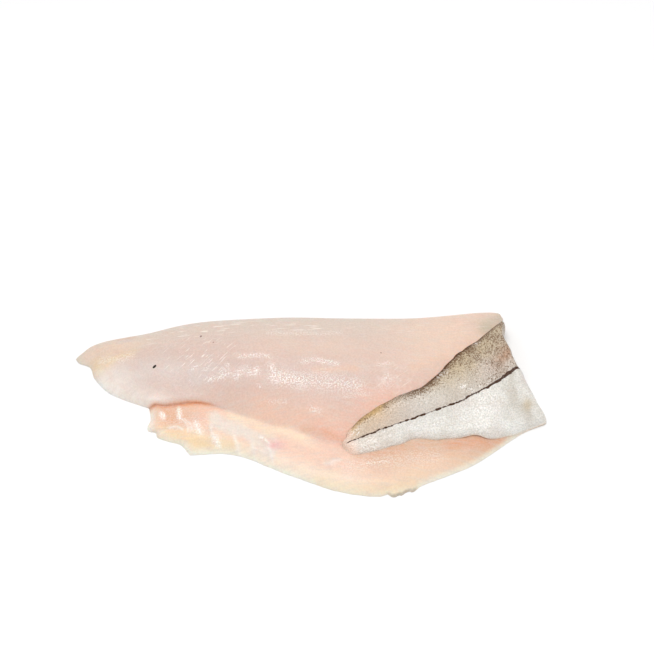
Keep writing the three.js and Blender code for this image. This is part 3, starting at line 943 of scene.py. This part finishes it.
def skin_tone(sheet):
    """The broad colours of the skin under its speckles, with painted sheen and a tip painted lighter against
    its shade.
    """
    place = in_plan(sheet.skin)
    wavy = wavering(sheet.skin, *SKIN_WAVER)
    tail_s, flap = sheet.tail_s, sheet.folded
    to_line = sheet.across / lateral_place(sheet)
    above = fall(to_line, *PAST_LINE)
    flap_above, flap_below = flap * above, flap * (1 - above)
    near_fold = fall(tail_s, 0.3, 0.7)
    sandy = rise(tail_s, 0.6, 0.85) * lerp(1, 0.6, rise(to_line, 0.4, 0.85))
    blotches = rise(waves(place, *BLOTCH_WAVES), -0.3, 0.5)
    layers = [
        (SKIN_ROSE, 0.5 * rise(waves(place, *ROSE_WAVES), 0.1, 0.8)),
        (SKIN_TAN, above),
        (SKIN_ROSE, 0.5 * flap_above * rise(to_line, 0.3, 0.8) * rise(tail_s, 0.3, 0.8)),
        (SKIN_OLIVE, 0.5 * above * fall(to_line, 0.2, 0.9) * near_fold),
        (SKIN_OLIVE, 0.5 * flap_above * dab(wavy, (78, 12), (22, 8), 35)),
        (SKIN_ROSE, 0.5 * flap_above * dab(wavy, (87, 10), (8, 6))),
        (SKIN_SAND, 0.9 * flap_above * sandy),
        (SKIN_GOLD, 0.75 * flap_above * stroke(wavy, [(22, -20), (29, -14.5), (37, -6)], 2.6)),
        (SKIN_RUST, 0.8 * flap_above * dab(wavy, (94.5, 18), (3.4, 9), -20)),
        # Painted sheen: lighter patches on the skin, one of them over the shaded bend by the fold.
        (PAINTED_SKIN_SHEEN, 0.8 * flap_below * dab(wavy, (97, -13), (15, 9))),
        (PAINTED_SKIN_SHEEN, 0.8 * flap_below * dab(wavy, (50, -19), (9, 4))),
        (PAINTED_SKIN_SHEEN, 0.35 * flap_above * dab(wavy, (58, -8), (11, 4), 35)),
        (PEACH, 0.4 * flap_below * rise(tail_s, 0.65, 0.95)),
        (SKIN_GREY, 0.6 * flap_below * blotches * stroke(wavy, GREY_PATCHES, 5)),
        (SKIN_OLIVE, 0.6 * flap_below * dab(wavy, (105.5, -5.5), (3, 3))),
        # The tail's tip: its pink, painted lighter against the shade on its rim.
        (LIT_SKIN_PINK, 0.85 * flap * rise(tail_s, 0.92, 0.98)),
        (THUMBPRINT, 0.8 * (1 - flap) * dab(wavy, (-60, 2), (9, 6), -15)),
    ]
    return blend(SKIN_WHITE, layers, sheet.u.shape)


class Surface:
    """A short way to write one material's nodes."""

    def __init__(self, name):
        self.material = bpy.data.materials.new(name)
        self.material.use_nodes = True
        self.tree = self.material.node_tree
        self.shader = self.tree.nodes["Principled BSDF"]

    def feed(self, socket, value):
        if isinstance(value, bpy.types.NodeSocket):
            self.tree.links.new(value, socket)
        else:
            socket.default_value = value

    def node(self, kind, inputs, output=0, **settings):
        made = self.tree.nodes.new("ShaderNode" + kind)
        for key, value in settings.items():
            setattr(made, key, value)
        for socket, value in inputs.items():
            self.feed(made.inputs[socket], value)
        return made.outputs[output]

    def attribute(self, name, output="Fac"):
        return self.node("Attribute", {}, output, attribute_name=name)

    def math(self, operation, first, second=0):
        return self.node("Math", {0: first, 1: second}, operation=operation)

    def times(self, first, second):
        return self.math("MULTIPLY", first, second)

    def ramp(self, value, low, high, start=0, end=1):
        inputs = {"Value": value, "From Min": low, "From Max": high, "To Min": start, "To Max": end}
        return self.node("MapRange", inputs, interpolation_type="SMOOTHSTEP")

    def noise(self, vector, scale, detail):
        return self.node("TexNoise", {"Vector": vector, "Scale": scale, "Detail": detail})

    def cells(self, vector, scale, output="Distance", feature="F1"):
        return self.node("TexVoronoi", {"Vector": vector, "Scale": scale}, output, feature=feature)

    def turned(self, vector, size, turn=0, tilt=0, at=(0, 0)):
        """Coordinates from a point, turned by some degrees, that count lengths of a size in millimetres."""
        settings = {
            "Vector": vector,
            "Location": (at[0] * MM, at[1] * MM, 0),
            "Rotation": (math.radians(tilt), 0, math.radians(turn)),
            "Scale": (size[0] * MM, size[1] * MM, 1),
        }
        return self.node("Mapping", settings, vector_type="TEXTURE")

    def along_fish(self, vector, size, detail):
        """Noise drawn out along the fish, that leans down over its side."""
        return self.noise(self.turned(vector, size, tilt=SIDE_SLOPE), 1, detail)

    def spot(self, vector, size, turn, at):
        """An oval fleck, the same at every height."""
        inside = self.turned(vector, size, turn, at=at)
        distance = self.node("VectorMath", {0: inside}, "Value", operation="LENGTH")
        return self.ramp(distance, 0.8, 1.2, 1, 0)

    def mix(self, share, first, second, blend="MIX"):
        inputs = {0: share, 6: first, 7: second}
        return self.node("Mix", inputs, 2, data_type="RGBA", blend_type=blend)

    def bump(self, height, distance, **normal):
        return self.node("Bump", {"Height": height, "Distance": distance * MM, **normal})

    def finish(self, **inputs):
        for name, value in inputs.items():
            self.feed(self.shader.inputs[name.replace("_", " ")], value)
        return self.material


def flesh_material():
    """Wet raw flesh: a broad tone, long fibres, pale sheets between flakes, painted white glints, and a film
    of water.
    """
    flesh = Surface("wet_flesh")
    tone = flesh.attribute("tone", "Color")
    # How wet each point is: this sets the clear coat, and where white glints are painted.
    wet = flesh.attribute("wetness_and_glints")
    place = flesh.node("TexCoord", {}, "Object")
    fibres = flesh.along_fish(place, FIBRES, 3)
    blotches = flesh.noise(place, FLESH_BLOTCHES, 3)
    grain = flesh.noise(place, FLESH_GRAIN, 1)
    base = flesh.mix(flesh.ramp(fibres, 0.4, 0.75, 0, 0.4), tone, PEARL)
    base = flesh.mix(flesh.ramp(blotches, 0.45, 0.75, 0, 0.3), base, ROSE)
    # Pale streaks: fibres along the back of the loin, and painted highlights along the edges of flakes.
    for where, size, turn in STREAKS:
        streaks = flesh.ramp(flesh.noise(flesh.turned(place, size, turn), 1, 1), 0.62, 0.7, 0, 0.8)
        base = flesh.mix(flesh.times(streaks, flesh.attribute(where)), base, LIP)
    base = flesh.mix(flesh.ramp(grain, 0.3, 0.7), base, FLESH_GRAIN_GREY, "MULTIPLY")
    # Painted highlights: white flecks of glint where the flesh is wet.
    flecks = flesh.ramp(flesh.along_fish(place, GLINT_FLECKS, 1), 0.44, 0.62, 0, 0.75)
    base = flesh.mix(flesh.times(flecks, wet), base, GLINT)
    for at, size, turn, tint in SPOTS:
        base = flesh.mix(flesh.spot(place, size, turn, at), base, colour(*tint))
    rippled = flesh.bump(flesh.along_fish(place, RIPPLES, 2), 0.2)
    return flesh.finish(
        Base_Color=base,
        Roughness=flesh.ramp(grain, 0.3, 0.7, 0.45, 0.6),
        IOR=1.36,
        Subsurface_Weight=0.35,
        Subsurface_Radius=(1, 0.45, 0.3),
        Subsurface_Scale=4 * MM,
        Coat_Weight=flesh.times(wet, 0.75),
        Coat_Roughness=0.1,
        Coat_IOR=1.4,
        Coat_Normal=flesh.bump(flesh.along_fish(place, GLITTER, 0), 0.4, Normal=rippled),
        Normal=flesh.bump(fibres, 0.06, Normal=rippled),
    )


def speckle_skin(skin, place, base, thick):
    """Draws a dark net and dots over the skin, by how thick its pigment is."""
    net = skin.ramp(skin.cells(place, SKIN_NET, feature="DISTANCE_TO_EDGE"), 0.02, 0.12, 0.6, 0)
    base = skin.mix(skin.times(net, thick), base, SPECKLE)
    for count, strength in SPECKLES:
        chance = skin.cells(place, count, "Color")
        there = skin.ramp(skin.math("SUBTRACT", thick, chance), 0, 0.15)
        dots = skin.times(there, skin.ramp(skin.cells(place, count), 0.4, 0.65, strength, 0))
        base = skin.mix(dots, base, SPECKLE)
    return base


def mark_back_edge(skin, place, base, off_back, stain):
    """Stains the back edge brown, with a thin line of pale flesh along it."""
    ragged = skin.math("ADD", off_back, skin.ramp(skin.noise(place, RAGS, 2), 0.3, 0.7, -0.9, 0.9))
    inside = skin.times(skin.ramp(ragged, 3, 3.6, 1, 0), skin.ramp(off_back, 0.6, 2.2, 0.55, 0.95))
    base = skin.mix(skin.times(inside, stain), base, BACK_BROWN)
    cut = skin.times(skin.ramp(off_back, 0.2, 0.7, 1, 0), skin.attribute("cut_edge"))
    return skin.mix(cut, base, PEACH)


def on_lateral_line(skin, place):
    """1 on the lateral line, which wanders and breaks into dashes, and 0 off it."""
    wander = skin.ramp(skin.noise(place, LINE_WANDER, 1), 0, 1, -0.4, 0.4)
    off_line = skin.math("ABSOLUTE", skin.math("ADD", skin.attribute("lateral_distance"), wander))
    dashes = skin.ramp(skin.noise(place, LINE_DASHES, 2), 0.4, 0.6, -0.35, 0.12)
    half_width = skin.math("ADD", dashes, skin.attribute("lateral_width"))
    return skin.ramp(skin.math("SUBTRACT", off_line, half_width), -0.15, 0.15, 1, 0)


def skin_material():
    """Haddock skin: silvery white below, tan with fine dark speckles above, a black lateral line between."""
    skin = Surface("speckled_skin")
    place = skin.node("TexCoord", {}, "Object")
    off_back = skin.attribute("from_back")
    stain = skin.attribute("back_stain")
    drift = skin.noise(place, SKIN_DRIFT, 3)
    grain = skin.noise(place, SKIN_GRAIN, 2)
    tone = skin.attribute("tone", "Color")
    base = skin.mix(skin.ramp(grain, 0.38, 0.62), tone, SKIN_GRAIN_GREY, "MULTIPLY")
    base = skin.mix(skin.ramp(drift, 0.4, 0.7, 0, 0.3), base, SKIN_GREY)
    thick = skin.times(skin.attribute("pigment"), skin.ramp(drift, 0.3, 0.7, 0.6, 1.25))
    thick = skin.math("ADD", thick, skin.times(stain, skin.ramp(off_back, 3, 8, 0.6, 0)))
    base = speckle_skin(skin, place, base, thick)
    # Painted highlights: white sparkles on the skin where it glints.
    sparkle = skin.ramp(skin.noise(place, SPARKLES, 1), 0.48, 0.64, 0, 0.85)
    base = skin.mix(skin.times(sparkle, skin.attribute("painted_skin_glints")), base, GLINT)
    base = mark_back_edge(skin, place, base, off_back, stain)
    on_line = on_lateral_line(skin, place)
    normal = skin.bump(skin.cells(place, SKIN_SCALES), 0.15)
    normal = skin.bump(grain, 0.12, Normal=normal)
    normal = skin.bump(drift, 0.3, Normal=normal)
    satin, dull_edge = skin.ramp(grain, 0.3, 0.7, 0.26, 0.45), skin.ramp(off_back, 3, 6, 0.95, 0)
    off_edge, off_line = skin.ramp(off_back, 0.5, 5, 0, 0.25), skin.ramp(on_line, 0, 1, 1, 0)
    return skin.finish(
        Base_Color=skin.mix(on_line, base, LINE_BLACK),
        Roughness=skin.math("MAXIMUM", satin, dull_edge),
        IOR=1.4,
        Subsurface_Weight=0.12,
        Subsurface_Radius=(1, 0.7, 0.5),
        Subsurface_Scale=1.2 * MM,
        Coat_Weight=skin.times(off_edge, off_line),
        Coat_Roughness=0.15,
        Coat_Normal=normal,
        Normal=normal,
    )


# What the materials read from the mesh, by the name of each function.
POINT_VALUES = (
    flaky_and_glinting, fibrous, wetness_and_glints, painted_skin_glints, pigment, back_stain, cut_edge, from_back,
    lateral_distance, lateral_width,
)


def make_mesh(sheet, inner, points):
    """One closed mesh of the flesh's grid and the skin's, which share the points of the rim."""
    flesh_index = np.arange(inner.size).reshape(inner.shape)
    skin_index = flesh_index.copy()
    skin_index[inner] = inner.size + np.arange(inner.sum())
    flesh_faces, skin_faces = grid_faces(flesh_index), grid_faces(skin_index)[:, ::-1]
    mesh = bpy.data.meshes.new("fillet_body")
    mesh.from_pydata(points.tolist(), [], np.concatenate([flesh_faces, skin_faces]).tolist())
    mesh.shade_smooth()
    mesh.polygons.foreach_set("material_index", np.repeat([0, 1], [len(flesh_faces), len(skin_faces)]))
    ends = np.empty(2 * len(mesh.edges), int)
    mesh.edges.foreach_get("vertices", ends)
    on_rim = np.isin(ends.reshape(-1, 2), flesh_index[~inner]).all(1)
    mesh.attributes.new("sharp_edge", "BOOLEAN", "EDGE").data.foreach_set("value", on_rim)
    along, across = sheet.u.mean(1), sheet.v.mean(0)
    grid = np.meshgrid(along / along[-1], across / across[-1], indexing="ij")
    spots = np.stack(grid, -1).reshape(-1, 2) * (1, HALF_MAP)
    halves = [spots[flesh_faces], spots[flesh_faces[:, ::-1]] + (0, 1 - HALF_MAP)]
    uv = np.concatenate(halves).astype(np.float32).ravel()
    mesh.uv_layers.new(name="OFBake").data.foreach_set("uv", uv)
    return mesh


def add(name, data):
    """A new object in the scene."""
    made = bpy.data.objects.new(name, data)
    bpy.context.scene.collection.objects.link(made)
    return made


def make_fillet():
    sheet = Sheet()
    inner = np.zeros(sheet.u.shape, bool)
    inner[1:-1, 1:-1] = True

    def join(flesh_values, skin_values):
        """Values of the mesh's points: all of the flesh grid, then the skin grid without its rim."""
        whole_grid = flesh_values.reshape(-1, *flesh_values.shape[2:])
        return np.concatenate([whole_grid, skin_values[inner]])

    mesh = make_mesh(sheet, inner, join(sheet.flesh, sheet.skin) * MM)

    def store(name, kind, field, values):
        made = mesh.attributes.new(name, kind, "POINT")
        made.data.foreach_set(field, np.ascontiguousarray(values, np.float32).ravel())

    store("tone", "FLOAT_COLOR", "color", join(flesh_tone(sheet), skin_tone(sheet)))
    for values_of in POINT_VALUES:
        values = np.broadcast_to(values_of(sheet), inner.shape)
        store(values_of.__name__, "FLOAT", "value", join(values, values))
    mesh.materials.append(flesh_material())
    mesh.materials.append(skin_material())
    fillet = add("fillet_body", mesh)
    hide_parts("fillet")
    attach(fillet, "root")


def make_floor():
    bpy.ops.mesh.primitive_plane_add(size=FLOOR_SIZE)
    floor = bpy.context.object
    floor.name = "floor"
    floor.data.materials.append(Surface("pale_floor").finish(Base_Color=FLOOR_WHITE, Roughness=0.7))


def make_softbox():
    """One large soft light, which points at the middle of the fillet."""
    lamp = bpy.data.lights.new("overhead_softbox", "AREA")
    lamp.energy = SOFTBOX_POWER
    lamp.shape = "RECTANGLE"
    lamp.size, lamp.size_y = SOFTBOX_SIZE
    light = add("overhead_softbox", lamp)
    light.location = SOFTBOX_PLACE
    light.rotation_euler = (-Vector(SOFTBOX_PLACE)).to_track_quat("-Z", "Y").to_euler()


def make_sky():
    """Even white light from all around."""
    world = bpy.data.worlds.new("studio")
    world.use_nodes = True
    inputs = world.node_tree.nodes["Background"].inputs
    inputs["Color"].default_value = (1, 1, 1, 1)
    inputs["Strength"].default_value = SKY_STRENGTH
    bpy.context.scene.world = world


def make_camera():
    lens = bpy.data.cameras.new("camera")
    lens.lens = CAMERA_LENS
    lens.sensor_width = CAMERA_SENSOR
    camera = add("camera", lens)
    back = Vector((0, -math.cos(CAMERA_ELEVATION), math.sin(CAMERA_ELEVATION)))
    camera.location = (Vector(CAMERA_AIM) + back * CAMERA_DISTANCE) * MM
    camera.rotation_euler = (math.pi / 2 - CAMERA_ELEVATION, 0, 0)
    bpy.context.scene.camera = camera


make_fillet()
make_floor()
make_sky()
make_softbox()
make_camera()
bpy.context.scene.view_settings.view_transform = "Standard"
